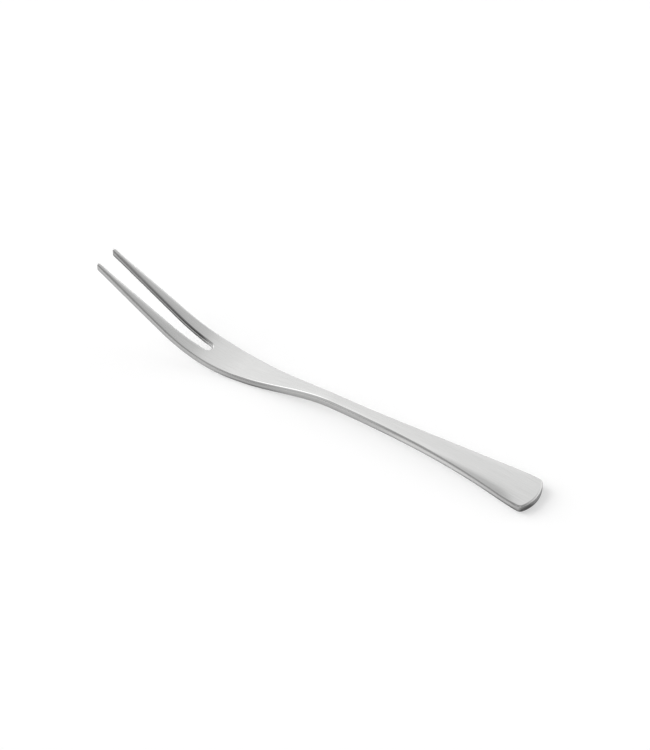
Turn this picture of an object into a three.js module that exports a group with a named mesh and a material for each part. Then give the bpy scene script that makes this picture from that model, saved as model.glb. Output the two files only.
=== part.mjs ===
// Escargot fork: a slim two-tined fork, cut and bent from a single piece of stainless steel.
// Millimetres, +Z up. The fork lies on a table: it rests on the end of its handle and on its belly,
// the handle arches up between them and the tines rise beyond the belly.
// The drawing runs along x from the handle's end to the tips, with y across the fork and z up.

import * as THREE from "three";

// Lengths seen from above
const END_TO_FLARE = 12;
const END_TO_NECK = 66.6;
const NECK_TO_BELLY = 29.7;
const NECK_TO_HEAD = 43.9;
const HEAD_TO_TIP = 35;
const SLOT_LENGTH = 36.4;

// Widths
const HANDLE_WIDTH = 12.6;
const FLARE_WIDTH = 10.96;
const NECK_WIDTH = 4.26;
const HEAD_WIDTH = 11.6;
const WIDTH_OVER_TIPS = 8.9;
const TINE_TIP_WIDTH = 1.28;
const SLOT_ROOT_WIDTH = 3;

// Thicknesses, square to the underside
const HANDLE_THICKNESS = 2.45;
const NECK_THICKNESS = 2.5;
const HEAD_THICKNESS = 1.9;
const TIP_THICKNESS = 1.87;

// Side view: the run of the underside, and how far from both ends the sections turn upright
const ARCH_START = 0.4;
const ARCH_HEIGHT = 2.68;
const HANDLE_DROP_ANGLE = THREE.MathUtils.degToRad(8.6);
const BELLY_LAND = 3;
const BEND_RADIUS = 51;
const TINE_ANGLE = THREE.MathUtils.degToRad(28.4);
const LEAN_REACH = 6;

// Plan view: how the sides run, and the arcs of the handle's end and of its corners
const FLARE_TAPER_ANGLE = THREE.MathUtils.degToRad(7.7);
const TINE_TAPER_ANGLE = THREE.MathUtils.degToRad(3.2);
const END_RADIUS = 11.5;
const END_CORNER_RADIUS = 1.8;
const TIP_ROUNDING = 0.35;

// Polished edges: radii round the top and the underside, which are smaller where a tine is narrow
const END_TOP_EDGE = 0.5;
const HANDLE_TOP_EDGE = 0.4;
const NECK_TOP_EDGE = 0.85;
const HEAD_TOP_EDGE = 0.5;
const LOW_EDGE = 0.5;
const END_EDGE_REACH = 7;
const EDGE_SHARE_OF_WALL = 0.3;

// Steps of the surface along and across the fork: one length, the rest counts
const BODY_STEP = 3;
const END_STEPS = 5;
const CORNER_STEPS = 7;
const ROOT_STEPS = 6;
const TINE_STEPS = 14;
const TIP_STEPS = 4;
const EDGE_STEPS = 3;
const FACE_STEPS = 2;

// Places along the fork
const END_REACH = END_RADIUS - END_CORNER_RADIUS;
const END_ANGLE = Math.asin((HANDLE_WIDTH / 2 - END_CORNER_RADIUS) / END_REACH);
const CORNER_X = END_RADIUS - END_REACH * Math.cos(END_ANGLE);
const FLARE_X = END_TO_FLARE;
const NECK_X = END_TO_NECK;
const BELLY_START_X = NECK_X + NECK_TO_BELLY - BELLY_LAND / 2;
const BELLY_END_X = BELLY_START_X + BELLY_LAND;
const HEAD_X = NECK_X + NECK_TO_HEAD;
const TIP_X = HEAD_X + HEAD_TO_TIP;
const TIP_START_X = TIP_X - TIP_ROUNDING;
const SLOT_APEX_X = TIP_X - SLOT_LENGTH;
const SLOT_ROOT_X = SLOT_APEX_X + SLOT_ROOT_WIDTH / 2;

const point = (x, y) => new THREE.Vector2(x, y);

// A smooth curve from a to b that leaves and arrives at the given slopes. Its x runs evenly.
function flow(a, slopeAtA, b, slopeAtB) {
  const arm = (b.x - a.x) / 3;
  return new THREE.CubicBezierCurve(
    a,
    point(a.x + arm, a.y + slopeAtA * arm),
    point(b.x - arm, b.y - slopeAtB * arm),
    b,
  );
}

// The one of these curves that covers x, and how far along it x lies
function locate(curves, x) {
  const curve = curves.find((each) => x <= each.v3.x) ?? curves.at(-1);
  return { curve, u: (x - curve.v0.x) / (curve.v3.x - curve.v0.x) };
}

const heightAt = (curves, x) => {
  const { curve, u } = locate(curves, x);
  return curve.getPoint(u).y;
};

// Outer edge of the half fork on +y, from the corner of the handle's end to the tine's tip
const endCorner = point(CORNER_X, HANDLE_WIDTH / 2);
const flareSide = point(FLARE_X, FLARE_WIDTH / 2);
const neckSide = point(NECK_X, NECK_WIDTH / 2);
const headSide = point(HEAD_X, HEAD_WIDTH / 2);
const tipOutside = point(TIP_START_X, WIDTH_OVER_TIPS / 2);
const tipInside = point(TIP_START_X, WIDTH_OVER_TIPS / 2 - TINE_TIP_WIDTH);
const slotSide = point(SLOT_ROOT_X, SLOT_ROOT_WIDTH / 2);
const flareSlope = -Math.tan(FLARE_TAPER_ANGLE);
const tineSlope = -Math.tan(TINE_TAPER_ANGLE);
const outerCurves = [
  flow(endCorner, 0, flareSide, flareSlope),
  flow(flareSide, flareSlope, neckSide, 0),
  flow(neckSide, 0, headSide, 0),
  flow(headSide, 0, tipOutside, tineSlope),
];

// Thickness along the fork
const thicknessCurves = [
  flow(point(0, HANDLE_THICKNESS), 0, point(NECK_X, NECK_THICKNESS), 0),
  flow(point(NECK_X, NECK_THICKNESS), 0, point(HEAD_X, HEAD_THICKNESS), 0),
  new THREE.CubicBezierCurve(
    ...[0, 1 / 3, 2 / 3, 1].map((u) =>
      point(HEAD_X, HEAD_THICKNESS).lerp(point(TIP_X, TIP_THICKNESS), u),
    ),
  ),
];
const thicknessAt = (x) => heightAt(thicknessCurves, x);

// Underside in the side view: the arch of the handle, a flat land at the belly, a round bend, straight tines
const archCurves = [
  flow(point(ARCH_START, 0), Math.tan(HANDLE_DROP_ANGLE), point(NECK_X, ARCH_HEIGHT), 0),
  flow(point(NECK_X, ARCH_HEIGHT), 0, point(BELLY_START_X, 0), 0),
];

function underside(x) {
  if (x < BELLY_START_X) {
    const { curve, u } = locate(archCurves, x);
    const tangent = curve.getTangent(u);
    return { z: curve.getPoint(u).y, slope: tangent.y / tangent.x };
  }
  const run = Math.max(x - BELLY_END_X, 0);
  const bend = BEND_RADIUS * Math.sin(TINE_ANGLE);
  if (run < bend) {
    const drop = Math.sqrt(BEND_RADIUS ** 2 - run ** 2);
    return { z: BEND_RADIUS - drop, slope: run / drop };
  }
  const slope = Math.tan(TINE_ANGLE);
  return { z: BEND_RADIUS * (1 - Math.cos(TINE_ANGLE)) + (run - bend) * slope, slope };
}

// How far sections turn from square to the underside, 0, to upright, 1: only close to both ends
function leanAt(x) {
  const atEnd = 1 - THREE.MathUtils.smoothstep(x, 0, LEAN_REACH);
  return atEnd + THREE.MathUtils.smoothstep(x, TIP_X - LEAN_REACH, TIP_X);
}

// A point h above the underside. Where the section leans it also slides along the underside.
function bent(x, y, h) {
  const { z, slope } = underside(x);
  const stretch = Math.hypot(slope, 1);
  const slide = h * slope * leanAt(x);
  return [x + (slide - h * slope) / stretch, y, z + (h + slide * slope) / stretch];
}

// Evenly spread places, with both ends
const spread = (from, to, steps) =>
  Array.from({ length: steps + 1 }, (_, i) => from + ((to - from) * i) / steps);

// A place on an edge with the way out of the steel, which is to the left or right of the edge's run
function edgePoint(place, tangent, turn) {
  return { x: place.x, y: place.y, outX: -turn * tangent.y, outY: turn * tangent.x };
}

const LEFT = 1;
const RIGHT = -1;

// A place on an arc of the handle's end, at an angle from the centre line
function arcPoint(centreX, centreY, radius, angle) {
  const outX = -Math.cos(angle);
  const outY = Math.sin(angle);
  return { x: centreX + radius * outX, y: centreY + radius * outY, outX, outY };
}

function outerEdgeAt(x) {
  const { curve, u } = locate(outerCurves, x);
  return edgePoint(curve.getPoint(u), curve.getTangent(u), LEFT);
}

// The quarter of the tine's rounded tip on one side of its middle
function tipQuarter(from, turn) {
  const middle = (tipOutside.y + tipInside.y) / 2;
  return spread(0, Math.PI / 2, TIP_STEPS).map((angle) => {
    const place = point(
      from.x + TIP_ROUNDING * Math.sin(angle),
      middle + (from.y - middle) * Math.cos(angle),
    );
    const tangent = point(
      TIP_ROUNDING * Math.cos(angle),
      (middle - from.y) * Math.sin(angle),
    ).normalize();
    return edgePoint(place, tangent, turn);
  });
}

// The outer edge up to the slot, where the half fork reaches the centre line
function bodyEdge() {
  const end = spread(0, END_ANGLE, END_STEPS).map((angle) => arcPoint(END_RADIUS, 0, END_RADIUS, angle));
  const centreX = END_RADIUS - END_REACH * Math.cos(END_ANGLE);
  const centreY = END_REACH * Math.sin(END_ANGLE);
  const corner = spread(END_ANGLE, Math.PI / 2, CORNER_STEPS)
    .slice(1)
    .map((angle) => arcPoint(centreX, centreY, END_CORNER_RADIUS, angle));
  const breaks = [CORNER_X, FLARE_X, NECK_X, BELLY_START_X, BELLY_END_X, SLOT_APEX_X];
  const stretches = breaks.filter((x) => x <= SLOT_APEX_X);
  const along = stretches
    .slice(1)
    .flatMap((to, i) => spread(stretches[i], to, Math.ceil((to - stretches[i]) / BODY_STEP)).slice(1));
  return [...end, ...corner, ...along.slice(0, -1).map(outerEdgeAt)];
}

// The outer edge along the slot: its round root, the tine and the tip
function tineOuterEdge() {
  const along = [
    ...spread(SLOT_APEX_X, SLOT_ROOT_X, ROOT_STEPS),
    ...spread(SLOT_ROOT_X, TIP_START_X, TINE_STEPS).slice(1, -1),
  ];
  return [...along.map(outerEdgeAt), ...tipQuarter(tipOutside, LEFT)];
}

// The slot's edge, place for place beside the tine's outer edge
function slotEdge() {
  const root = spread(0, Math.PI / 2, ROOT_STEPS).map((angle) => {
    const across = point(Math.cos(angle), Math.sin(angle));
    const place = point(SLOT_ROOT_X - slotSide.y * across.x, slotSide.y * across.y);
    return edgePoint(place, point(across.y, across.x), RIGHT);
  });
  const run = tipInside.clone().sub(slotSide);
  const tangent = run.clone().normalize();
  const side = spread(0, 1, TINE_STEPS)
    .slice(1, -1)
    .map((u) => edgePoint(slotSide.clone().addScaledVector(run, u), tangent, RIGHT));
  return [...root, ...side, ...tipQuarter(tipInside, RIGHT)];
}

// The largest edge radius that a narrow tine allows at x
function edgeLimitAt(x) {
  const inTine = THREE.MathUtils.clamp((x - SLOT_APEX_X) / (TIP_START_X - SLOT_APEX_X), 0, 1);
  return EDGE_SHARE_OF_WALL * THREE.MathUtils.lerp(HEAD_WIDTH / 2, TINE_TIP_WIDTH, inTine);
}

// Edge radius of the top: it runs smoothly from the handle's end to the handle, the neck and the head
function topEdgeAt(x) {
  const atEnd = 1 - THREE.MathUtils.smoothstep(x, 0, END_EDGE_REACH);
  const toNeck = THREE.MathUtils.smoothstep(x, CORNER_X, NECK_X);
  const toHead = THREE.MathUtils.smoothstep(x, NECK_X, SLOT_APEX_X);
  return (
    HANDLE_TOP_EDGE +
    (END_TOP_EDGE - HANDLE_TOP_EDGE) * atEnd +
    (NECK_TOP_EDGE - HANDLE_TOP_EDGE) * toNeck +
    (HEAD_TOP_EDGE - NECK_TOP_EDGE) * toHead
  );
}

// The rounded edge at one place, from the underside round to the top, as places h above the underside
function edgeSection(edge) {
  const limit = edgeLimitAt(edge.x);
  const quarter = (radius) =>
    spread(0, Math.PI / 2, EDGE_STEPS).map((angle) => {
      const inset = radius * (1 - Math.sin(angle));
      return {
        x: edge.x - edge.outX * inset,
        y: edge.y - edge.outY * inset,
        depth: radius * (1 - Math.cos(angle)),
      };
    });
  const low = quarter(Math.min(LOW_EDGE, limit)).map(({ x, y, depth }) => ({ x, y, h: depth }));
  const high = quarter(Math.min(topEdgeAt(edge.x), limit)).map(({ x, y, depth }) => ({
    x,
    y,
    h: thicknessAt(x) - depth,
  }));
  return [...low, ...high.reverse()];
}

// A closed surface that is put together from strips, with each corner shared by the strips that meet there
class Skin {
  constructor() {
    this.places = new Map();
    this.positions = [];
    this.triangles = [];
  }

  corner({ x, y, h }, side) {
    const key = [x, y * side, h].map((value) => Math.round(value * 1e3)).join();
    if (!this.places.has(key)) {
      this.places.set(key, this.places.size);
      this.positions.push(...bent(x, y * side, h));
    }
    return this.places.get(key);
  }

  triangle(a, b, c) {
    if (a !== b && b !== c && c !== a) this.triangles.push(a, b, c);
  }

  // The strips between rows of places. turn says which side of the rows faces out.
  rows(rows, side, turn) {
    const corners = rows.map((row) => row.map((place) => this.corner(place, side)));
    for (let i = 0; i + 1 < corners.length; i += 1) {
      for (let j = 0; j + 1 < corners[i].length; j += 1) {
        const a = corners[i][j];
        const b = corners[i + 1][j];
        const c = corners[i + 1][j + 1];
        const d = corners[i][j + 1];
        if (turn * side > 0) {
          this.triangle(a, d, c);
          this.triangle(a, c, b);
        } else {
          this.triangle(a, c, d);
          this.triangle(a, b, c);
        }
      }
    }
  }

  geometry() {
    const geometry = new THREE.BufferGeometry();
    geometry.setAttribute("position", new THREE.Float32BufferAttribute(this.positions, 3));
    geometry.setIndex(this.triangles);
    return geometry;
  }
}

// A row of places across a face, at the height that the steel has there
function acrossFace(from, to, heightOf) {
  return spread(0, 1, FACE_STEPS).map((u) => {
    const x = THREE.MathUtils.lerp(from.x, to.x, u);
    return { x, y: THREE.MathUtils.lerp(from.y, to.y, u), h: heightOf(x) };
  });
}

function forkGeometry() {
  const body = bodyEdge().map(edgeSection);
  const tine = tineOuterEdge().map(edgeSection);
  const slot = slotEdge().map(edgeSection);
  const outer = [...body, ...tine];
  const faces = [
    { pick: (section) => section.at(-1), heightOf: thicknessAt, turn: 1 },
    { pick: (section) => section[0], heightOf: () => 0, turn: -1 },
  ];
  const skin = new Skin();
  for (const side of [1, -1]) {
    skin.rows(outer, side, 1);
    skin.rows(slot, side, -1);
    for (const { pick, heightOf, turn } of faces) {
      const toCentre = body.map(pick).map((p) => acrossFace(p, { x: p.x, y: 0 }, heightOf));
      const toSlot = tine.map((section, i) => acrossFace(pick(section), pick(slot[i]), heightOf));
      skin.rows([...toCentre, ...toSlot], side, turn);
    }
  }
  const geometry = skin.geometry();
  geometry.rotateZ(Math.PI);
  geometry.computeBoundingBox();
  const { min, max } = geometry.boundingBox;
  geometry.translate(-(min.x + max.x) / 2, 0, -min.z);
  geometry.computeVertexNormals();
  return geometry;
}

const satinSteel = new THREE.MeshStandardMaterial({ color: 0xcfcfcd, roughness: 0.3, metalness: 1 });

const fork = new THREE.Mesh(forkGeometry(), satinSteel);
fork.name = "fork";

const escargotFork = new THREE.Group();
escargotFork.add(fork);

export default escargotFork;
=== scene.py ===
"""Escargot fork: a slim two-tined table fork of satin stainless steel, lying on a white table.

The fork is one piece of steel, so it is one surface here. Its drawing runs along x from the handle's end
to the tips, with y across the fork and h above its underside. Lengths are in metres.
"""

import logging
import math
from dataclasses import dataclass, field
from enum import Enum

import bpy
import numpy as np
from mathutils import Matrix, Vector


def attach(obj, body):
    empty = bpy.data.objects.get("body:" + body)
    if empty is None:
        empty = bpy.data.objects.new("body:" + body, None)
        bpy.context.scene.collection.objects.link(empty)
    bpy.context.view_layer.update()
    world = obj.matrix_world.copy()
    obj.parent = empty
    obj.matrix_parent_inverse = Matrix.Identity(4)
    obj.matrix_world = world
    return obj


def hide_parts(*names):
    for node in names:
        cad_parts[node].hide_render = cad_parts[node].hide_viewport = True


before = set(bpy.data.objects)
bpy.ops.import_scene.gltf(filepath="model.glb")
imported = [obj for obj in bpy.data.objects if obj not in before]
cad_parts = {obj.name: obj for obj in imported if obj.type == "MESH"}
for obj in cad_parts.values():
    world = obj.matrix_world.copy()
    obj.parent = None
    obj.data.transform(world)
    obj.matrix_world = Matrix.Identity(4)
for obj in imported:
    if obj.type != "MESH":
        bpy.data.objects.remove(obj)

LOG = logging.getLogger("escargot_fork")
MM = 0.001
GRAIN_MAP = "grain"
EDGE_ATTRIBUTE = "edge"
DULL_AND_SHADE_ATTRIBUTE = "dull"

Array = np.ndarray
Socket = bpy.types.NodeSocket
Tree = bpy.types.NodeTree


class Side(Enum):
    """The two mirrored halves of the fork, by the sign of y."""

    LEFT = 1
    RIGHT = -1


class Face(Enum):
    """The two broad faces of the fork, by the column of an edge's grid where they begin."""

    TOP = -1
    UNDERSIDE = 0


@dataclass(frozen=True)
class Station:
    """A place along the fork: its distance from the handle's end, a value there, and the value's slope."""

    x: float
    value: float
    slope: float = 0.0


def station_row(*pairs: tuple[float, float]) -> tuple[Station, ...]:
    """Stations from pairs of a distance in millimetres and a value."""
    return tuple(Station(distance * MM, value) for distance, value in pairs)


def flow(x: Array, a: Station, b: Station) -> tuple[Array, Array]:
    """The smooth run of a value between two stations.

    It is the cubic through both stations with their slopes. With u going from 0 at a to 1 at b, the value
    is a (1 - 3uu + 2uuu) + b (3uu - 2uuu) + run (slope_a (u - 2uu + uuu) + slope_b (uuu - uu)).

    Args:
        x: places along the fork.
        a: the station where the run starts.
        b: the station where it ends.

    Returns:
        The value and its slope at each place.
    """
    run = b.x - a.x
    u = (x - a.x) / run
    value = a.value + (b.value - a.value) * (3 - 2 * u) * u**2
    value = value + run * (a.slope * u * (1 - u) ** 2 + b.slope * u**2 * (u - 1))
    slope = (b.value - a.value) * 6 * u * (1 - u) / run
    slope = slope + a.slope * (1 - u) * (1 - 3 * u) + b.slope * u * (3 * u - 2)
    return value, slope


def ease(x: Array, start: float, end: float) -> Array:
    """A share that goes from 0 at start to 1 at end and is level at both: 3uu - 2uuu.

    Args:
        x: places along the fork, or angles.
        start: the place where the share leaves 0.
        end: the place where it reaches 1.

    Returns:
        The share at each place.
    """
    u = np.clip((x - start) / (end - start), 0, 1)
    return (3 - 2 * u) * u**2


@dataclass(frozen=True)
class EdgePath:
    """An edge seen from above: places on it, and the way out of the steel at each."""

    x: Array
    y: Array
    out_x: Array
    out_y: Array

    @property
    def along(self) -> Array:
        """Length along the edge up to each place, as the running sum of its steps."""
        steps = np.hypot(np.diff(self.x), np.diff(self.y))
        return np.concatenate([[0.0], np.cumsum(steps)])


def join_paths(*paths: EdgePath) -> EdgePath:
    """Puts paths end to end, each without its first place, which the path before it already has.

    Args:
        paths: the paths, in the order of their run.

    Returns:
        One path.
    """
    first, *rest = paths

    def joined(name: str) -> Array:
        """One array of all the paths, end to end."""
        return np.concatenate([getattr(first, name), *[getattr(path, name)[1:] for path in rest]])

    return EdgePath(joined("x"), joined("y"), joined("out_x"), joined("out_y"))


@dataclass(frozen=True)
class Plan:
    """The fork seen from above, on the +y half: the outer edge and the edge of the slot."""

    end_radius: float = 11.5 * MM
    corner_radius: float = 1.8 * MM
    flare_x: float = 12 * MM
    neck_x: float = 66.6 * MM
    head_x: float = 110.5 * MM
    tip_x: float = 145.47 * MM
    slot_length: float = 36.4 * MM
    handle_half: float = 6.299 * MM
    flare_half: float = 5.48 * MM
    neck_half: float = 2.13 * MM
    head_half: float = 5.8 * MM
    tips_half: float = 4.45 * MM
    tip_width: float = 1.28 * MM
    tip_rounding: float = 0.52 * MM
    slot_root_half: float = 1.5 * MM
    root_lead: float = 2 * MM
    flare_taper: float = math.radians(7.7)
    tine_taper: float = math.radians(3.2)
    end_steps: int = 30
    corner_steps: int = 36
    handle_steps: int = 150
    neck_steps: int = 110
    root_steps: int = 22
    tine_steps: int = 110
    tip_steps: int = 10

    @property
    def tip_start(self) -> float:
        """Where the rounding of the tips begins."""
        return self.tip_x - self.tip_rounding

    @property
    def end_angle(self) -> float:
        """The angle of the end's arc, up to where the corner's rounding takes over."""
        return math.asin((self.handle_half - self.corner_radius) / (self.end_radius - self.corner_radius))

    @property
    def corner_x(self) -> float:
        """Where the corner's rounding meets the handle's side."""
        return self.end_radius - (self.end_radius - self.corner_radius) * math.cos(self.end_angle)

    @property
    def slot_apex(self) -> float:
        """The deepest place of the slot."""
        return self.tip_x - self.slot_length

    @property
    def tine_x(self) -> float:
        """Where the outer edge passes from the body to a tine, a little before the slot."""
        return self.slot_apex - self.root_lead

    @property
    def tip_curve(self) -> float:
        """The tightest radius of a tip's ellipse, which is where it meets the tine's sides."""
        return self.tip_rounding**2 / (self.tip_width / 2)

    @property
    def slot_root(self) -> float:
        """The centre of the slot's round root."""
        return self.slot_apex + self.slot_root_half

    def half_width(self, x: Array) -> tuple[Array, Array]:
        """The outer edge past the handle's rounded end.

        Four smooth runs: the sides run parallel at the handle's end and draw in, the handle tapers to the
        neck, the neck swells to the head, and the head tapers to the tips.

        Args:
            x: places along the fork.

        Returns:
            The half width and its slope.
        """
        corner = Station(self.corner_x, self.handle_half)
        flare = Station(self.flare_x, self.flare_half, -math.tan(self.flare_taper))
        neck = Station(self.neck_x, self.neck_half)
        head = Station(self.head_x, self.head_half)
        tip = Station(self.tip_start, self.tips_half, -math.tan(self.tine_taper))
        stations = [corner, flare, neck, head, tip]
        runs = [flow(x, a, b) for a, b in zip(stations, stations[1:])]
        choices = [x < place.x for place in stations[1:-1]]
        value = np.select(choices, [run[0] for run in runs[:-1]], runs[-1][0])
        slope = np.select(choices, [run[1] for run in runs[:-1]], runs[-1][1])
        return value, slope

    def share_across(self, x: Array, y: Array) -> Array:
        """Share of the way from the centre line to the handle's sides, which run on past the rounded end.

        Args:
            x: places along the fork.
            y: places across it.

        Returns:
            The share at each place, no more than 1.
        """
        return np.minimum(np.abs(y) / self.half_width(np.maximum(x, self.corner_x))[0], 1)

    def side_path(self, x: Array) -> EdgePath:
        """The outer edge at these places: the half width, with the way out square to its slope.

        Args:
            x: places along the fork.

        Returns:
            The path.
        """
        width, slope = self.half_width(x)
        size = np.hypot(slope, 1)
        return EdgePath(x, width, -slope / size, 1 / size)

    @staticmethod
    def arc(centre: tuple[float, float], radius: float, angle: Array) -> EdgePath:
        """An arc: each place lies a radius from the centre, at an angle from the way to the handle's end.

        Args:
            centre: the arc's centre, along and across.
            radius: its radius.
            angle: the angles of its places.

        Returns:
            The path.
        """
        out_x, out_y = -np.cos(angle), np.sin(angle)
        return EdgePath(centre[0] + radius * out_x, centre[1] + radius * out_y, out_x, out_y)

    def end_path(self) -> EdgePath:
        """The end of the handle, from its middle to the side.

        A flat arc about a point on the centre line, then a smaller arc inside it that rounds the corner.

        Returns:
            The path.
        """
        flat = np.linspace(0, self.end_angle, self.end_steps + 1)
        round_off = np.linspace(self.end_angle, math.pi / 2, self.corner_steps + 1)
        corner = (self.corner_x, self.handle_half - self.corner_radius)
        return join_paths(
            self.arc((self.end_radius, 0), self.end_radius, flat),
            self.arc(corner, self.corner_radius, round_off),
        )

    def tip_path(self, from_y: float, way_out: int) -> EdgePath:
        """A quarter of a tine's rounded tip: an ellipse from one side of the tine to the tip's middle.

        Args:
            from_y: the side of the tine where the quarter starts.
            way_out: 1 where the steel is right of the path's run, -1 where it is left of it.

        Returns:
            The path.
        """
        middle = self.tips_half - self.tip_width / 2
        angle = np.linspace(0, math.pi / 2, self.tip_steps + 1)
        run_x = self.tip_rounding * np.cos(angle)
        run_y = (middle - from_y) * np.sin(angle)
        size = np.hypot(run_x, run_y)
        return EdgePath(
            self.tip_start + self.tip_rounding * np.sin(angle),
            middle + (from_y - middle) * np.cos(angle),
            -way_out * run_y / size,
            way_out * run_x / size,
        )

    def body_path(self) -> EdgePath:
        """The outer edge from the middle of the handle's end up to a tine.

        Returns:
            The path.
        """
        handle = np.linspace(self.corner_x, self.neck_x, self.handle_steps + 1)
        neck = np.linspace(self.neck_x, self.tine_x, self.neck_steps + 1)
        return join_paths(self.end_path(), self.side_path(handle), self.side_path(neck))

    def tine_path(self) -> EdgePath:
        """The outer edge of a tine, from a little before the slot to the middle of the tip.

        Returns:
            The path.
        """
        root = np.linspace(self.tine_x, self.slot_root, self.root_steps + 1)
        tine = np.linspace(self.slot_root, self.tip_start, self.tine_steps + 1)
        tip = self.tip_path(self.tips_half, 1)
        return join_paths(self.side_path(root), self.side_path(tine), tip)

    def slot_path(self) -> EdgePath:
        """The slot's edge, place for place beside the tine's outer edge.

        A quarter circle at the root, then a straight side, then the inner quarter of the tip.

        Returns:
            The path.
        """
        angle = np.linspace(0, math.pi / 2, self.root_steps + 1)
        round_x = self.slot_root - self.slot_root_half * np.cos(angle)
        round_y = self.slot_root_half * np.sin(angle)
        root = EdgePath(round_x, round_y, np.cos(angle), -np.sin(angle))
        tip_inside = self.tips_half - self.tip_width
        x = np.linspace(self.slot_root, self.tip_start, self.tine_steps + 1)
        y = np.linspace(self.slot_root_half, tip_inside, self.tine_steps + 1)
        rise = (tip_inside - self.slot_root_half) / (self.tip_start - self.slot_root)
        size = math.hypot(rise, 1)
        side = EdgePath(x, y, np.full_like(x, rise / size), np.full_like(x, -1 / size))
        return join_paths(root, side, self.tip_path(tip_inside, -1))


@dataclass(frozen=True)
class Profile:
    """The fork seen from the side: its underside, its thickness, and how full its faces are."""

    plan: Plan
    handle_thickness: float = 2.45 * MM
    neck_thickness: float = 2.5 * MM
    head_thickness: float = 1.9 * MM
    tip_thickness: float = 1.85 * MM
    arch_start: float = 0.4 * MM
    arch_height: float = 2.68 * MM
    handle_drop: float = math.radians(8.6)
    belly_start: float = 94.8 * MM
    belly_end: float = 97.8 * MM
    bend_radius: float = 51 * MM
    tine_angle: float = math.radians(28.4)
    handle_crown: float = 0.33 * MM
    neck_crown: float = 0.02 * MM
    tine_crown: float = 0.035 * MM
    crown_fullness: float = 3
    crown_rise: float = 10 * MM
    crown_start: float = 10 * MM
    crown_end: float = 44 * MM
    lean_reach: float = 6 * MM
    tip_fade: float = 5 * MM

    def thickness(self, x: Array) -> Array:
        """Steel thickness, square to the underside: smooth to the neck and the head, then an even taper.

        Args:
            x: places along the fork.

        Returns:
            The thickness at each place.
        """
        end = Station(0, self.handle_thickness)
        neck = Station(self.plan.neck_x, self.neck_thickness)
        head = Station(self.plan.head_x, self.head_thickness)
        share = (x - head.x) / (self.plan.tip_x - head.x)
        tine = self.head_thickness + (self.tip_thickness - self.head_thickness) * share
        handle, shank = flow(x, end, neck)[0], flow(x, neck, head)[0]
        return np.select([x < neck.x, x < head.x], [handle, shank], tine)

    def underside(self, x: Array) -> tuple[Array, Array]:
        """Height and slope of the underside.

        The handle arches up to the neck and down to a flat land at the belly. A circular bend and then a
        straight rise carry the tines.

        Args:
            x: places along the fork.

        Returns:
            The height and its slope.
        """
        end = Station(self.arch_start, 0, math.tan(self.handle_drop))
        neck = Station(self.plan.neck_x, self.arch_height)
        belly = Station(self.belly_start, 0)
        handle, shank = flow(x, end, neck), flow(x, neck, belly)
        run = np.maximum(x - self.belly_end, 0)
        bend_run = self.bend_radius * math.sin(self.tine_angle)
        round_run = np.minimum(run, bend_run)
        drop = np.sqrt(self.bend_radius**2 - round_run**2)
        slope = round_run / drop
        rise = self.bend_radius - drop + (run - round_run) * slope
        choices = [x < neck.x, x < belly.x]
        height = np.select(choices, [handle[0], shank[0]], rise)
        return height, np.select(choices, [handle[1], shank[1]], slope)

    def body_crown(self, x: Array) -> Array:
        """How far the top falls from the centre line to its edges.

        It is most on the broad handle, and nothing at the handle's end and from a little before the slot.

        Args:
            x: places along the fork.

        Returns:
            The fall at each place.
        """
        from_end = ease(x, 0, self.crown_rise)
        to_neck = ease(x, self.crown_start, self.crown_end)
        to_head = ease(x, self.plan.neck_x, self.plan.tine_x)
        handle = self.handle_crown + (self.neck_crown - self.handle_crown) * to_neck
        return handle * from_end * (1 - to_head)

    def slot_crown(self, x: Array) -> Array:
        """How far the top of a tine falls to both its edges.

        It is nothing at the slot's root, most half way out, and nothing again at the tip.

        Args:
            x: places along the fork.

        Returns:
            The fall at each place.
        """
        middle = (self.plan.slot_root + self.plan.tip_start) / 2
        to_tip = ease(x, self.plan.tip_start - self.tip_fade, self.plan.tip_start)
        return self.tine_crown * ease(x, self.plan.slot_root, middle) * (1 - to_tip)

    def top(self, x: Array, from_centre: Array, from_middle: Array) -> Array:
        """Height of the top face above the underside.

        The thickness, less a crown that grows with a power of the distance from the fork's centre line and
        from the tine's own middle.

        Args:
            x: places along the fork.
            from_centre: share of the way from the centre line to the outer edge.
            from_middle: share of the way from the tine's middle to its edges.

        Returns:
            The height at each place.
        """
        body = self.body_crown(x) * np.abs(from_centre) ** self.crown_fullness
        tine = self.slot_crown(x) * np.abs(from_middle) ** self.crown_fullness
        return self.thickness(x) - body - tine

    def lean(self, x: Array) -> Array:
        """How far sections turn from square to the underside, 0, to upright, 1: only close to both ends.

        Args:
            x: places along the fork.

        Returns:
            The share at each place.
        """
        at_end = 1 - ease(x, 0, self.lean_reach)
        at_tip = ease(x, self.plan.tip_x - self.lean_reach, self.plan.tip_x)
        return at_end + at_tip

    def bend(self, x: Array, y: Array, h: Array) -> Array:
        """Carries places of the drawing onto the bent fork: h runs square to the underside.

        Close to both ends a place also slides along the underside, by its height times the slope and the
        lean.

        Args:
            x: places along the fork.
            y: places across it.
            h: heights above the underside.

        Returns:
            Points of the drawing in space, with one more axis.
        """
        z, slope = self.underside(x)
        stretch = np.hypot(slope, 1)
        slide = h * slope * self.lean(x)
        along = x + (slide - h * slope) / stretch
        height = z + (h + slide * slope) / stretch
        return np.stack(np.broadcast_arrays(along, y, height), axis=-1)


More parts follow.
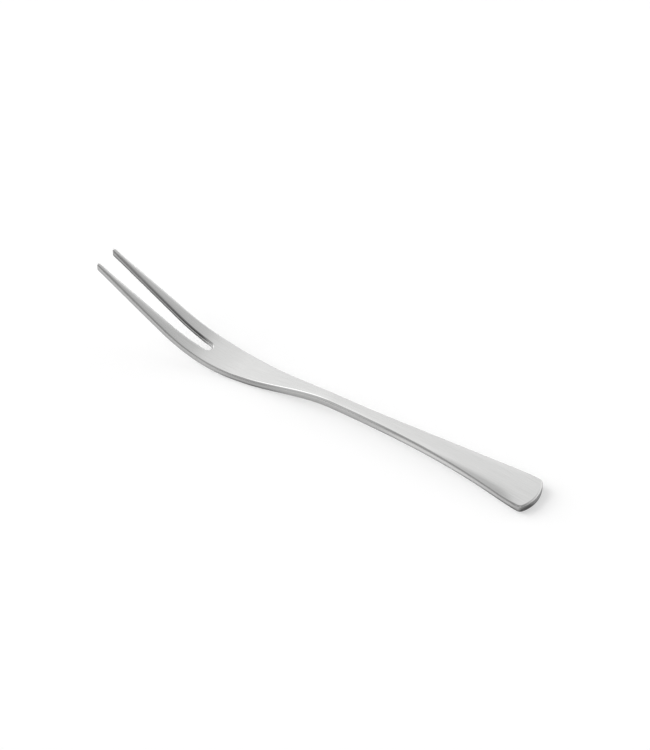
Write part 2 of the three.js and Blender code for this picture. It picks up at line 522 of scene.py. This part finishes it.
@dataclass
class Patch:
    """A grid of surface points, with the grain's run, the share of polished edge, and the share of rough
    wall with painted shade.
    """

    points: Array
    grain: Array
    edge: Array
    dull: Array
    turned: bool

    def corners(self, offset: int) -> Array:
        """The four corners of every cell, in the order that faces out.

        Args:
            offset: the number that the first point of the grid has.

        Returns:
            One row of four point numbers for each cell.
        """
        rows, columns = self.points.shape[:2]
        number = offset + np.arange(rows * columns).reshape(rows, columns)
        a, b, c, d = number[:-1, :-1], number[1:, :-1], number[1:, 1:], number[:-1, 1:]
        order = [a, b, c, d] if self.turned else [a, d, c, b]
        return np.stack(order, axis=-1).reshape(-1, 4)


@dataclass
class Skin:
    """A closed surface of patches whose shared borders are welded."""

    patches: list[Patch] = field(default_factory=list)
    weld: float = 0.00002 * MM

    def mesh(self, name: str) -> bpy.types.Mesh:
        """Welds the patches and makes the mesh.

        Points that agree to within the weld become one. A cell with two corners in one place becomes a
        triangle, and one with less than three corners is dropped.

        Args:
            name: the mesh's name.

        Returns:
            The mesh, with its grain map, its edge attribute, and its attribute of rough wall and painted
            shade.
        """
        points = np.concatenate([patch.points.reshape(-1, 3) for patch in self.patches])
        grain = np.concatenate([patch.grain.reshape(-1, 2) for patch in self.patches])
        marks = {
            EDGE_ATTRIBUTE: np.concatenate([patch.edge.reshape(-1) for patch in self.patches]),
            DULL_AND_SHADE_ATTRIBUTE: np.concatenate([patch.dull.reshape(-1) for patch in self.patches]),
        }
        starts = np.cumsum([0] + [patch.edge.size for patch in self.patches])
        cells = np.concatenate([patch.corners(int(start)) for patch, start in zip(self.patches, starts)])
        places = np.round(points / self.weld).astype(np.int64)
        _, first, welded = np.unique(places, axis=0, return_index=True, return_inverse=True)
        welded = welded.reshape(-1)
        kept = welded[cells] != np.roll(welded[cells], -1, axis=1)
        count = kept.sum(axis=1)
        quads = cells[count == 4]
        triangles = cells[count == 3][kept[count == 3]].reshape(-1, 3)
        loops = np.concatenate([quads.reshape(-1), triangles.reshape(-1)])
        mesh = bpy.data.meshes.new(name)
        mesh.from_pydata(points[first].tolist(), [], welded[quads].tolist() + welded[triangles].tolist())
        grain_map = mesh.uv_layers.new(name=GRAIN_MAP)
        grain_map.data.foreach_set("uv", grain[loops].astype(np.float32).reshape(-1))
        for mark, values in marks.items():
            layer = mesh.attributes.new(mark, "FLOAT", "POINT")
            layer.data.foreach_set("value", values[first].astype(np.float32))
        mesh.polygons.foreach_set("use_smooth", np.ones(len(mesh.polygons), dtype=bool))
        mesh.update()
        return mesh


@dataclass(frozen=True)
class SatinSteel:
    """Satin stainless steel: fine lines along the fork, smoother edges, and rougher side walls that painted
    shade darkens.
    """

    colour: tuple[float, float, float] = (0.68, 0.68, 0.675)
    colour_change: float = 0.06
    face_roughness: float = 0.2
    edge_roughness: float = 0.14
    dull_roughness: float = 0.3
    # Painted shade: how far the colour darkens where the share of rough wall and painted shade is full.
    dull_shade: float = 0.85
    roughness_change: float = 0.06
    line_length: float = 8 * MM
    line_width: float = 0.26 * MM
    line_detail: float = 2.0
    line_depth: float = 0.0003 * MM
    streak_length: float = 45 * MM
    streak_width: float = 1.1 * MM
    streak_detail: float = 3.0

    def shaded(self, factor: float) -> tuple[float, ...]:
        """The steel's colour times a factor, for a socket."""
        return (*[value * factor for value in self.colour], 1)

    def noise(self, tree: Tree, length: float, width: float, detail: float) -> Socket:
        """A noise drawn out along the grain.

        Args:
            tree: the material's nodes.
            length: length of its marks along the grain.
            width: width of its marks across the grain.
            detail: how many finer octaves it has.

        Returns:
            The socket that gives the noise.
        """
        grain = tree.nodes.new("ShaderNodeUVMap")
        grain.uv_map = GRAIN_MAP
        spread = tree.nodes.new("ShaderNodeMapping")
        spread.inputs["Scale"].default_value = (1 / length, 1 / width, 1)
        texture = tree.nodes.new("ShaderNodeTexNoise")
        texture.noise_dimensions = "2D"
        texture.inputs["Scale"].default_value = 1.0
        texture.inputs["Detail"].default_value = detail
        tree.links.new(grain.outputs["UV"], spread.inputs["Vector"])
        tree.links.new(spread.outputs["Vector"], texture.inputs["Vector"])
        return texture.outputs["Fac"]

    def mark(self, tree: Tree, name: str) -> Socket:
        """The value of one of the mesh's attributes.

        Args:
            tree: the material's nodes.
            name: the attribute's name.

        Returns:
            The socket that gives it.
        """
        attribute = tree.nodes.new("ShaderNodeAttribute")
        attribute.attribute_name = name
        return attribute.outputs["Fac"]

    def tint(self, tree: Tree, lines: Socket, dull: Socket) -> Socket:
        """The colour: a little lighter and darker along the lines, and darkened by painted shade on the
        side walls.

        Args:
            tree: the material's nodes.
            lines: the noise of the fine lines.
            dull: the share of rough steel and painted shade.

        Returns:
            The socket that gives the colour.
        """
        grained = tree.nodes.new("ShaderNodeMix")
        grained.data_type = "RGBA"
        grained.inputs["A"].default_value = self.shaded(1 - self.colour_change)
        grained.inputs["B"].default_value = self.shaded(1 + self.colour_change)
        tree.links.new(lines, grained.inputs["Factor"])
        # Painted shade: the colour darkens with this share, for the shaded table and dark studio that the
        # side walls mirror.
        shade = tree.nodes.new("ShaderNodeMix")
        shade.data_type = "RGBA"
        shade.inputs["B"].default_value = self.shaded(1 - self.dull_shade)
        tree.links.new(dull, shade.inputs["Factor"])
        tree.links.new(grained.outputs["Result"], shade.inputs["A"])
        return shade.outputs["Result"]

    def roughness(self, tree: Tree, streaks: Socket, dull: Socket) -> Socket:
        """The roughness: from the face's to the edge's, then towards the rough wall's, changed by the
        streaks.

        Args:
            tree: the material's nodes.
            streaks: the noise of the broad streaks.
            dull: the share of rough steel and painted shade.

        Returns:
            The socket that gives the roughness.
        """
        polish = tree.nodes.new("ShaderNodeMapRange")
        polish.inputs["To Min"].default_value = self.face_roughness - self.roughness_change / 2
        polish.inputs["To Max"].default_value = self.edge_roughness - self.roughness_change / 2
        tree.links.new(self.mark(tree, EDGE_ATTRIBUTE), polish.inputs["Value"])
        wear = tree.nodes.new("ShaderNodeMix")
        wear.inputs["B"].default_value = self.dull_roughness
        tree.links.new(dull, wear.inputs["Factor"])
        tree.links.new(polish.outputs["Result"], wear.inputs["A"])
        rough = tree.nodes.new("ShaderNodeMath")
        rough.operation = "MULTIPLY_ADD"
        rough.inputs[1].default_value = self.roughness_change
        tree.links.new(streaks, rough.inputs[0])
        tree.links.new(wear.outputs["Result"], rough.inputs[2])
        return rough.outputs["Value"]

    def material(self) -> bpy.types.Material:
        """Makes the material.

        Two noises are drawn out along the grain map: fine lines, which set the bump and change the colour a
        little, and broad streaks, which change the roughness. The edge attribute brings the roughness down,
        and the attribute of rough wall and painted shade brings it up again and darkens the colour with
        painted shade.

        Returns:
            The material.
        """
        material = bpy.data.materials.new("satin_steel")
        material.use_nodes = True
        tree = material.node_tree
        shader = tree.nodes["Principled BSDF"]
        shader.inputs["Metallic"].default_value = 1.0
        lines = self.noise(tree, self.line_length, self.line_width, self.line_detail)
        streaks = self.noise(tree, self.streak_length, self.streak_width, self.streak_detail)
        # The attribute of rougher side walls, which also carries the painted shade that darkens them.
        dull = self.mark(tree, DULL_AND_SHADE_ATTRIBUTE)
        tree.links.new(self.tint(tree, lines, dull), shader.inputs["Base Color"])
        tree.links.new(self.roughness(tree, streaks, dull), shader.inputs["Roughness"])
        bump = tree.nodes.new("ShaderNodeBump")
        bump.inputs["Strength"].default_value = 1.0
        bump.inputs["Distance"].default_value = self.line_depth
        tree.links.new(lines, bump.inputs["Height"])
        tree.links.new(bump.outputs["Normal"], shader.inputs["Normal"])
        return material


@dataclass
class Fork:
    """The whole fork: one surface of rounded edges and two broad faces, mirrored about the centre line."""

    plan: Plan = field(default_factory=Plan)
    finish: SatinSteel = field(default_factory=SatinSteel)
    end_edge: float = 0.5 * MM
    handle_edge: float = 0.4 * MM
    neck_edge: float = 0.85 * MM
    head_edge: float = 0.5 * MM
    low_edge: float = 0.5 * MM
    end_reach: float = 7 * MM
    # Stations of rough steel and painted shade on the side walls, of painted dark lines along their edges,
    # and of both on the slot's walls.
    wall_dull: tuple[Station, ...] = station_row(
        (0, 0.9), (0.5, 1.25), (1.6, 1.15), (2.4, 0.6), (5, 0.4), (25, 0.02), (42, 0.02),
        (50, 0.3), (58, 0.5), (66, 0.57), (84, 0.58), (94, 0.55), (104, 0.42), (112, 0.52),
    )
    line_dull: tuple[Station, ...] = station_row(
        (1.8, 0.0), (4, 0.5), (45, 0.45), (53, 0.17), (62, 0.0),
        (80, 0.0), (90, 0.3), (98, 0.3), (108, 0.0),
    )
    slot_dull: tuple[Station, ...] = station_row(
        (109, 0.05), (110, 0.25), (111.5, 0.5), (114, 0.64), (122, 0.64), (130, 0.78), (145, 0.65),
    )
    slot_line_dull: tuple[Station, ...] = station_row(
        (111, 0.1), (112.5, 0.6), (114, 1.1), (124, 0.75), (132, 0.5), (145, 0.25),
    )
    wall_top: float = 2 / 3
    wall_fade: tuple[float, float] = (50, 80)
    line_angle: float = 60
    low_line: float = 2.4
    low_line_fade: float = 2.6
    edge_share_of_wall: float = 0.3
    edge_share_of_tip: float = 0.9
    tip_reach: float = 2 * MM
    end_to_origin: float = 72.75 * MM
    apex_reach: float = 24 * MM
    edge_steps: int = 8
    wall_steps: int = 3
    face_steps: int = 22
    name: str = "steel_fork"

    def __post_init__(self) -> None:
        """Sets up the side view, which needs the plan's stations."""
        self.profile = Profile(self.plan)

    def radius(self, x: Array, face: Face) -> Array:
        """Radius of the rounding between a face and the wall.

        Under the fork it is even. On the top it is fullest at the neck: it runs smoothly from the handle to
        the neck and on to the head, and at the handle's end it grows to the end's own value. The width of a
        tine limits both, and at the tip the curve of the tip does.

        Args:
            x: places along the fork.
            face: the top or the underside.

        Returns:
            The radius at each place.
        """
        plan = self.plan
        if face is Face.TOP:
            at_end = 1 - ease(x, 0, self.end_reach)
            to_neck = ease(x, plan.corner_x, plan.neck_x)
            to_head = ease(x, plan.neck_x, plan.slot_apex)
            radius = self.handle_edge + (self.end_edge - self.handle_edge) * at_end
            radius = radius + (self.neck_edge - self.handle_edge) * to_neck
            radius = radius + (self.head_edge - self.neck_edge) * to_head
        else:
            radius = self.low_edge
        in_tine = np.clip((x - plan.slot_apex) / (plan.tip_start - plan.slot_apex), 0, 1)
        wall = plan.head_half + (plan.tip_width - plan.head_half) * in_tine
        at_tip = ease(x, plan.tip_start - self.tip_reach, plan.tip_start)
        limit = self.edge_share_of_wall * wall
        limit = limit + (self.edge_share_of_tip * plan.tip_curve - limit) * at_tip
        return np.minimum(radius, limit)

    def tilt(self, path: EdgePath, wall: Array) -> Array:
        """How far the crowned top leans outwards where it meets the rounded edge.

        The crown falls with a power of the share across. So its slope there is the power times the fall
        times the share to one power less, over half the width that it crosses, and it counts as far as the
        edge faces sideways.

        Args:
            path: the edge.
            wall: half of the width that the crown crosses at each place.

        Returns:
            The angle at each place.
        """
        power = self.profile.crown_fullness
        share = self.plan.share_across(path.x, path.y)
        body = self.profile.body_crown(path.x) * share ** (power - 1) * np.abs(path.out_y)
        return np.arctan(power * (body + self.profile.slot_crown(path.x)) / wall)

    def place(self, points: Array, side: Side) -> Array:
        """Turns the drawing into the fork's own frame: handle towards +X, origin under the box's middle.

        Args:
            points: points of the drawing on the +y half.
            side: the half to make.

        Returns:
            Points in the frame, in metres.
        """
        return np.stack(
            [self.end_to_origin - points[..., 0], -side.value * points[..., 1], points[..., 2]],
            axis=-1,
        )

    def edge_grid(self, path: EdgePath, tilt: Array) -> tuple[Array, Array, Array]:
        """The rounded edge along a path, from the underside round to the top.

        Each section is a quarter circle at the underside, a straight wall, and an arc at the top that
        starts in line with the crowned face. An angle turns from 0 at the underside, or from the tilt at
        the top, to a right angle at the wall. The inset is radius (1 - sin angle), and the depth is radius
        times the difference of the cosines of the first angle and of this one.

        Args:
            path: the edge.
            tilt: the lean of the top at each place.

        Returns:
            Places along, across and above the underside, one row for each place of the path.
        """
        top_radius = self.radius(path.x, Face.TOP)[:, None]
        low_radius = self.radius(path.x, Face.UNDERSIDE)[:, None]
        share = np.linspace(0, 1, self.edge_steps + 1)[None, :]
        low = share * math.pi / 2
        high = tilt[:, None] + (math.pi / 2 - tilt[:, None]) * share[:, ::-1]
        low_inset = low_radius * (1 - np.sin(low))
        high_inset = top_radius * (1 - np.sin(high))
        h_low = low_radius * (1 - np.cos(low))
        high_depth = top_radius * (np.cos(tilt[:, None]) - np.cos(high))
        x_low = path.x[:, None] - path.out_x[:, None] * low_inset
        x_high = path.x[:, None] - path.out_x[:, None] * high_inset
        y_low = path.y[:, None] - path.out_y[:, None] * low_inset
        y_high = path.y[:, None] - path.out_y[:, None] * high_inset
        across = self.plan.share_across(path.x, path.y)[:, None]
        h_high = self.profile.top(x_high, across, np.ones(1)) - high_depth
        climb = np.linspace(0, 1, self.wall_steps + 1)[None, 1:-1]
        h_wall = h_low[:, -1:] + (h_high[:, :1] - h_low[:, -1:]) * climb
        x_wall = np.repeat(path.x[:, None], climb.size, axis=1)
        y_wall = np.repeat(path.y[:, None], climb.size, axis=1)
        return (
            np.hstack([x_low, x_wall, x_high]),
            np.hstack([y_low, y_wall, y_high]),
            np.hstack([h_low, h_wall, h_high]),
        )

    def dullness(self, x: Array, wall: tuple[Station, ...], line: tuple[Station, ...]) -> Array:
        """How rough the steel is round an edge, and how much painted shade darkens it.

        Along the fork the values of the wall and of the line run straight between their stations. In the
        section the wall's value fades evenly up the wall, and then on the upper rounding to nothing between
        two angles, which are degrees from the face. The line's value, a painted dark line of shade, is
        added as the square of a sine that is highest at the line's angle. A stronger painted dark line by
        the underside fades up the wall.

        Args:
            x: places along the edge.
            wall: the stations of the wall's value.
            line: the stations of the line's value.

        Returns:
            The share of rough steel and painted shade, one row for each place and one column for each step
            of the section.
        """
        angle = np.linspace(0, 90, self.edge_steps + 1)
        climb = np.linspace(0, 1, self.wall_steps + 1)[1:-1]
        bump = np.sin(math.pi / 2 * angle / self.line_angle) ** 2
        low_bump = np.concatenate([bump, np.maximum(1 - self.low_line_fade * climb, 0)])
        line_share = np.concatenate([self.low_line * low_bump, bump[::-1]])
        low_wall = np.where(angle > 0, 1.0, 0.0)
        high_wall = self.wall_top * ease(angle, *self.wall_fade)[::-1]
        wall_share = np.concatenate([low_wall, 1 - (1 - self.wall_top) * climb, high_wall])

        def along(stations: tuple[Station, ...]) -> Array:
            """The value at each place, as a column."""
            places, values = [place.x for place in stations], [place.value for place in stations]
            return np.interp(x, places, values)[:, None]

        return along(wall) * wall_share + along(line) * line_share

    def edge_patch(
        self, path: EdgePath, grid: tuple[Array, Array, Array], dull: Array, side: Side, turned: bool
    ) -> Patch:
        """The rounded edge as a patch, with its grain along the path.

        Args:
            path: the edge.
            grid: the edge's places along, across and above the underside.
            dull: the share of rough steel and painted shade over the grid.
            side: the half to make.
            turned: whether the patch faces out the other way.

        Returns:
            The patch.
        """
        x, y, h = grid
        points = self.profile.bend(x, y, h)
        steps = np.linalg.norm(np.diff(points, axis=1), axis=-1)
        across = np.hstack([np.zeros((len(path.x), 1)), np.cumsum(steps, axis=1)])
        along = np.broadcast_to(path.along[:, None], across.shape)
        edge = np.ones_like(x)
        edge[:, [0, -1]] = 0
        return Patch(self.place(points, side), np.stack([along, across], axis=-1), edge, dull, turned)

    def face_patch(
        self, face: Face, outer: Array, inner: Array, across: Array, body_rows: int, side: Side
    ) -> Patch:
        """A broad face of one half, as straight rows from the outer edge to the centre line or the slot.

        The steps of a row are closest at its ends: the share across is (1 - cos angle) / 2.

        Args:
            face: the top or the underside.
            outer: places along and across where the rows start.
            inner: places where they end.
            across: share of the way to the handle's sides where each row starts.
            body_rows: how many rows end on the centre line.
            side: the half to make.

        Returns:
            The patch.
        """
        share = (1 - np.cos(np.linspace(0, math.pi, self.face_steps + 1))) / 2
        rows = outer[:, None, :] + (inner - outer)[:, None, :] * share[None, :, None]
        x, y = rows[..., 0], rows[..., 1]
        if face is Face.TOP:
            in_body = (np.arange(len(outer)) < body_rows)[:, None]
            from_centre = across[:, None] * np.where(in_body, 1 - share, 1.0)
            h = self.profile.top(x, from_centre, 1 - 2 * share)
        else:
            h = np.zeros_like(x)
        points = self.profile.bend(x, y, h)
        grain = np.stack([x, side.value * y], axis=-1)
        turned = (side is Side.RIGHT) == (face is Face.TOP)
        return Patch(self.place(points, side), grain, np.zeros_like(x), np.zeros_like(x), turned)

    def build(self) -> bpy.types.Object:
        """Builds the fork's mesh from its edges and faces and puts it in the scene.

        The rows of the faces end on the centre line up to the slot, and then on the slot's edge. Before the
        slot they are pulled towards its apex, so that the last one ends there.

        Returns:
            The fork's object.
        """
        plan = self.plan
        body, tine, slot = plan.body_path(), plan.tine_path(), plan.slot_path()
        body_tilt = self.tilt(body, plan.half_width(np.maximum(body.x, plan.corner_x))[0])
        tine_half = np.maximum(np.hypot(tine.x - slot.x, tine.y - slot.y) / 2, plan.tip_width / 2)
        tine_tilt = self.tilt(tine, tine_half)
        outer = join_paths(body, tine)
        outer_tilt = np.concatenate([body_tilt, tine_tilt[1:]])
        across = np.concatenate([plan.share_across(body.x, body.y)[:-1], np.ones(len(tine.x))])
        # Painted shade, with rougher steel, on the side walls, in dark lines along their edges and on the
        # slot's walls.
        outer_dull = self.dullness(outer.x, self.wall_dull, self.line_dull)
        slot_dull = self.dullness(slot.x, self.slot_dull, self.slot_line_dull)
        outer_grid = self.edge_grid(outer, outer_tilt)
        slot_grid = self.edge_grid(slot, tine_tilt)
        body_rows = len(body.x) - 1
        skin = Skin()
        for side in Side:
            right = side is Side.RIGHT
            skin.patches.append(self.edge_patch(outer, outer_grid, outer_dull, side, right))
            skin.patches.append(self.edge_patch(slot, slot_grid, slot_dull, side, not right))
            for face in Face:
                rim = np.stack([places[:, face.value] for places in outer_grid[:2]], axis=-1)
                gap = np.stack([places[:, face.value] for places in slot_grid[:2]], axis=-1)
                middle = rim[:body_rows].copy()
                pull = ease(middle[:, 0], plan.tine_x - self.apex_reach, plan.tine_x)
                middle[:, 0] += (gap[0, 0] - plan.tine_x) * pull
                middle[:, 1] = 0
                inner = np.concatenate([middle, gap])
                skin.patches.append(self.face_patch(face, rim, inner, across, body_rows, side))
        fork = bpy.data.objects.new(self.name, skin.mesh(self.name))
        bpy.context.scene.collection.objects.link(fork)
        return fork

    def dress(self, fork: bpy.types.Object) -> None:
        """Gives the fork its finish and its place in the frame.

        Args:
            fork: the fork's object.
        """
        fork.data.materials.append(self.finish.material())
        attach(fork, "root")
        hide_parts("fork")
        LOG.info("%s: %d faces", fork.name, len(fork.data.polygons))


@dataclass(frozen=True)
class WhiteTable:
    """The plain white table top that the fork lies on."""

    half_size: float = 2.0
    below: float = 0.01 * MM
    steps: int = 8
    colour: tuple[float, float, float] = (0.5, 0.5, 0.5)
    roughness: float = 0.9
    glow: float = 0.515
    name: str = "white_table"

    def material(self) -> bpy.types.Material:
        """A matt white that keeps the shadow, with a little more white for the camera and for reflections.

        Returns:
            The material.
        """
        material = bpy.data.materials.new(self.name)
        material.use_nodes = True
        nodes, links = material.node_tree.nodes, material.node_tree.links
        shader = nodes["Principled BSDF"]
        shader.inputs["Base Color"].default_value = (*self.colour, 1)
        shader.inputs["Roughness"].default_value = self.roughness
        shader.inputs["Specular IOR Level"].default_value = 0.0
        shader.inputs["Emission Color"].default_value = (1, 1, 1, 1)
        rays = nodes.new("ShaderNodeLightPath")
        seen = nodes.new("ShaderNodeMath")
        seen.operation = "MAXIMUM"
        links.new(rays.outputs["Is Camera Ray"], seen.inputs[0])
        links.new(rays.outputs["Is Glossy Ray"], seen.inputs[1])
        white = nodes.new("ShaderNodeMath")
        white.operation = "MULTIPLY"
        white.inputs[1].default_value = self.glow
        links.new(seen.outputs["Value"], white.inputs[0])
        links.new(white.outputs["Value"], shader.inputs["Emission Strength"])
        return material

    def build(self) -> bpy.types.Object:
        """Makes the table top as a flat grid just under the fork.

        Returns:
            The table's object.
        """
        line = np.linspace(-self.half_size, self.half_size, self.steps + 1)
        x, y = np.meshgrid(line, line, indexing="ij")
        points = np.stack([x, y, np.full_like(x, -self.below)], axis=-1)
        flat = Patch(points, points[..., :2], np.zeros_like(x), np.zeros_like(x), True)
        mesh = bpy.data.meshes.new(self.name)
        mesh.from_pydata(points.reshape(-1, 3).tolist(), [], flat.corners(0).tolist())
        mesh.materials.append(self.material())
        table = bpy.data.objects.new(self.name, mesh)
        bpy.context.scene.collection.objects.link(table)
        LOG.info("%s: %d faces", table.name, len(mesh.polygons))
        return table


@dataclass(frozen=True)
class Glow:
    """A soft patch of light or shade in the studio.

    It adds its full value up to the inner angle from its middle and nothing past the outer one. Angles are
    in degrees.
    """

    towards: tuple[float, float, float]
    inner: float
    outer: float
    adds: float


@dataclass(frozen=True)
class Studio:
    """A white studio: soft light on the table from the left and the back, and panels for the steel."""

    even_light: float = 0.32
    soft_light: tuple[Glow, ...] = (
        Glow((-0.88, -0.17, 0.4), 8, 42, 5.6),
        Glow((-0.05, 0.85, 0.4), 8, 46, 0.85),
    )
    wall: float = 0.35
    darkest: float = 0.1
    panels: tuple[Glow, ...] = (
        # A bright back wall with a sharp border, its darker middle, and the light that fades around it.
        Glow((-0.49, 0.85, 0.2), 46, 48, 0.42),
        Glow((-0.49, 0.85, 0.2), 35, 44, -0.12),
        Glow((-0.49, 0.85, 0.2), 48, 88, 0.33),
        # Lighter places on the back wall.
        Glow((0.25, 0.9, 0.35), 10, 30, 0.25),
        Glow((-0.75, 0.55, 0.4), 0, 35, 0.05),
        Glow((-0.3, 0.93, 0.2), 5, 30, 0.12),
        # Two lamps high on the left.
        Glow((-0.68, 0.08, 0.73), 8, 27, 0.68),
        Glow((-0.55, 0.35, 0.76), 7, 18, 0.35),
        # Panels at the front left, the back right and the front right.
        Glow((-0.5, -0.7, 0.5), 15, 42, 0.3),
        Glow((0.72, 0.62, 0.3), 8, 30, 0.5),
        Glow((0.62, -0.66, 0.42), 6, 30, 0.36),
        # Shade low at the back, and a little overhead.
        Glow((0, 0.98, -0.2), 14, 36, -0.6),
        Glow((-0.1, 0.45, 0.88), 0, 16, -0.11),
    )

    def level(self, tree: Tree, base: float, glows: tuple[Glow, ...]) -> Socket:
        """Light that comes from each direction.

        Each glow adds to the base a smooth step of the cosine of the angle between a ray and the glow's
        middle. The sum is never less than the darkest level.

        Args:
            tree: the world's nodes.
            base: the level where there is no glow.
            glows: the patches of light and shade.

        Returns:
            The socket that gives the level.
        """
        nodes, links = tree.nodes, tree.links
        way = nodes.new("ShaderNodeTexCoord")
        start = nodes.new("ShaderNodeValue")
        start.outputs[0].default_value = base
        total = start.outputs[0]
        for glow in glows:
            angle = nodes.new("ShaderNodeVectorMath")
            angle.operation = "DOT_PRODUCT"
            angle.inputs[1].default_value = Vector(glow.towards).normalized()
            links.new(way.outputs["Generated"], angle.inputs[0])
            step = nodes.new("ShaderNodeMapRange")
            step.interpolation_type = "SMOOTHSTEP"
            step.inputs["From Min"].default_value = math.cos(math.radians(glow.outer))
            step.inputs["From Max"].default_value = math.cos(math.radians(glow.inner))
            links.new(angle.outputs["Value"], step.inputs["Value"])
            add = nodes.new("ShaderNodeMath")
            add.operation = "MULTIPLY_ADD"
            add.inputs[1].default_value = glow.adds
            links.new(step.outputs["Result"], add.inputs[0])
            links.new(total, add.inputs[2])
            total = add.outputs["Value"]
        least = nodes.new("ShaderNodeMath")
        least.operation = "MAXIMUM"
        least.inputs[1].default_value = self.darkest
        links.new(total, least.inputs[0])
        return least.outputs["Value"]

    def light(self) -> None:
        """Makes the world: white to the camera, panels for reflections, soft light for the table."""
        world = bpy.data.worlds.new("white_studio")
        bpy.context.scene.world = world
        world.use_nodes = True
        world.cycles.sampling_method = "NONE"
        tree = world.node_tree
        nodes, links = tree.nodes, tree.links
        nodes.clear()
        rays = nodes.new("ShaderNodeLightPath")
        panels = nodes.new("ShaderNodeBackground")
        soft = nodes.new("ShaderNodeBackground")
        white = nodes.new("ShaderNodeBackground")
        for background in (panels, soft, white):
            background.inputs["Color"].default_value = (1, 1, 1, 1)
        links.new(self.level(tree, self.wall, self.panels), panels.inputs["Strength"])
        links.new(self.level(tree, self.even_light, self.soft_light), soft.inputs["Strength"])
        reflected = nodes.new("ShaderNodeMixShader")
        links.new(rays.outputs["Is Glossy Ray"], reflected.inputs["Fac"])
        links.new(soft.outputs["Background"], reflected.inputs[1])
        links.new(panels.outputs["Background"], reflected.inputs[2])
        seen = nodes.new("ShaderNodeMixShader")
        links.new(rays.outputs["Is Camera Ray"], seen.inputs["Fac"])
        links.new(reflected.outputs["Shader"], seen.inputs[1])
        links.new(white.outputs["Background"], seen.inputs[2])
        output = nodes.new("ShaderNodeOutputWorld")
        links.new(seen.outputs["Shader"], output.inputs["Surface"])
        LOG.info("studio: %d panels", len(self.panels))


@dataclass(frozen=True)
class Camera:
    """The camera at the photograph's viewing angle."""

    azimuth: float = 33.169
    elevation: float = 43.103
    distance: float = 0.9
    aim: tuple[float, float, float] = (0.5727 * MM, 3.9177 * MM, 8.1445 * MM)
    lens: float = 152.471
    sensor_width: float = 36.0
    clip_start: float = 0.01
    clip_end: float = 20.0

    def build(self) -> bpy.types.Object:
        """Makes the camera, which looks from its angles and distance at the point that it aims at.

        Returns:
            The camera's object.
        """
        a, e = math.radians(self.azimuth), math.radians(self.elevation)
        back = Vector((math.sin(a) * math.cos(e), -math.cos(a) * math.cos(e), math.sin(e)))
        data = bpy.data.cameras.new("camera")
        data.lens = self.lens
        data.sensor_width = self.sensor_width
        data.clip_start = self.clip_start
        data.clip_end = self.clip_end
        camera = bpy.data.objects.new("camera", data)
        camera.location = Vector(self.aim) + back * self.distance
        camera.rotation_mode = "QUATERNION"
        camera.rotation_quaternion = (-back).to_track_quat("-Z", "Y")
        bpy.context.scene.collection.objects.link(camera)
        bpy.context.scene.camera = camera
        LOG.info("camera: lens %.1f mm", self.lens)
        return camera


def main() -> None:
    """Builds the camera, the studio, the table and the fork in order, and notes the sizes."""
    logging.basicConfig(level=logging.INFO, format="%(name)s %(message)s")
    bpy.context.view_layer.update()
    bpy.context.scene.view_settings.view_transform = "Standard"
    Camera().build()
    Studio().light()
    WhiteTable().build()
    fork = Fork()
    fork.dress(fork.build())
    bpy.context.view_layer.update()


if __name__ == "__main__":
    main()
